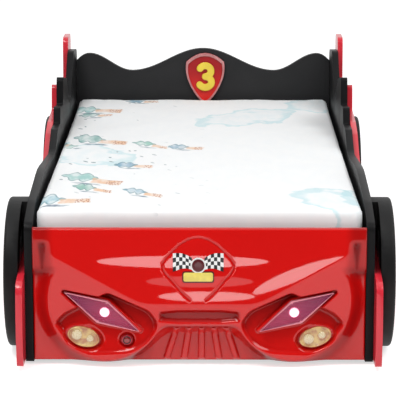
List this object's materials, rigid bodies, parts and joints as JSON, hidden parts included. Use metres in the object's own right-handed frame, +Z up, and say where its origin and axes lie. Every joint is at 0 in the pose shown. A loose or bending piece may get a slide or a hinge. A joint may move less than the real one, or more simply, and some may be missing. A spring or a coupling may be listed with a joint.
{
  "type": "racing car single bed",
  "caption": "Child's single bed shaped as a racing car: glossy moulded front with lamps, black and red side boards, wavy headboard with shield, printed mattress and fixed wheels.",
  "frame": {"origin": "on the floor, at the bottom centre of the bed's box", "axes": "+X to the bed's right seen from the moulded front, +Y from the moulded front to the headboard, +Z up"},
  "size_m": [1.0706, 2.0622, 0.664],
  "materials": {
    "mattress_cloth": "white woven cover with a soft washed print",
    "black_board": "black satin laminated board with rounded edges",
    "red_board": "crimson satin laminated board with rounded edges",
    "red_moulding": "high-gloss vacuum-formed shell",
    "red_enamel": "glossy red",
    "lamp_plate": "violet plate",
    "clear_cover": "clear cover with pink edges",
    "lit_disc": "lit white disc",
    "fog_body": "warm yellow body",
    "reflector": "cream reflector",
    "switch_collar": "glossy red collar",
    "switch_button": "dark red button",
    "tyre_black": "satin black moulded tyre",
    "rim_silver": "silver moulded rim",
    "hub_silver": "bright silver cap",
    "bright_steel": "zinc plated",
    "bracket_steel": "zinc plated sheet",
    "pine": "planed pine",
    "leg_black": "black powder coat",
    "glide_plastic": "dark felt-faced glide"
  },
  "bodies": {
    "bed": {"mattress": "mattress_cloth", "side_board_left": "black_board", "side_board_right": "black_board", "red_board_left": "red_board", "red_board_right": "red_board", "headboard": "black_board", "foot_panel": "black_board", "front_moulding": "red_moulding", "shield_plaque": "red_enamel", "headlamp_base_left": "lamp_plate", "headlamp_base_right": "lamp_plate", "headlamp_cover_left": "clear_cover", "headlamp_cover_right": "clear_cover", "headlamp_led_left": "lit_disc", "headlamp_led_right": "lit_disc", "fog_lamp_left": "fog_body", "fog_lamp_right": "fog_body", "fog_reflectors_left": "reflector", "fog_reflectors_right": "reflector", "switch_collar": "switch_collar", "tyre_front_left": "tyre_black", "tyre_front_right": "tyre_black", "tyre_rear_left": "tyre_black", "tyre_rear_right": "tyre_black", "rim_front_left": "rim_silver", "rim_front_right": "rim_silver", "rim_rear_left": "rim_silver", "rim_rear_right": "rim_silver", "hub_cap_front_left": "hub_silver", "hub_cap_front_right": "hub_silver", "hub_cap_rear_left": "hub_silver", "hub_cap_rear_right": "hub_silver", "wheel_bolts": "bright_steel", "wheel_nuts": "bright_steel", "ledger_left": "pine", "ledger_right": "pine", "slat_1": "pine", "slat_2": "pine", "slat_3": "pine", "slat_4": "pine", "slat_5": "pine", "slat_6": "pine", "slat_7": "pine", "slat_8": "pine", "slat_9": "pine", "slat_10": "pine", "slat_11": "pine", "slat_12": "pine", "middle_beam": "pine", "beam_leg_front": "leg_black", "beam_leg_rear": "leg_black", "beam_hangers": "bracket_steel", "corner_brackets": "bracket_steel", "bracket_bolts": "bright_steel", "board_screws": "bright_steel", "floor_glides": "glide_plastic"},
    "button": {"lamp_button": "switch_button"}
  },
  "joints": [
    {"name": "button_press", "type": "slide", "parent": "bed", "child": "button", "axis": [0, 1, 0], "range_m": [0, 0.0025], "stiffness_N_per_m": 400}
  ]
}
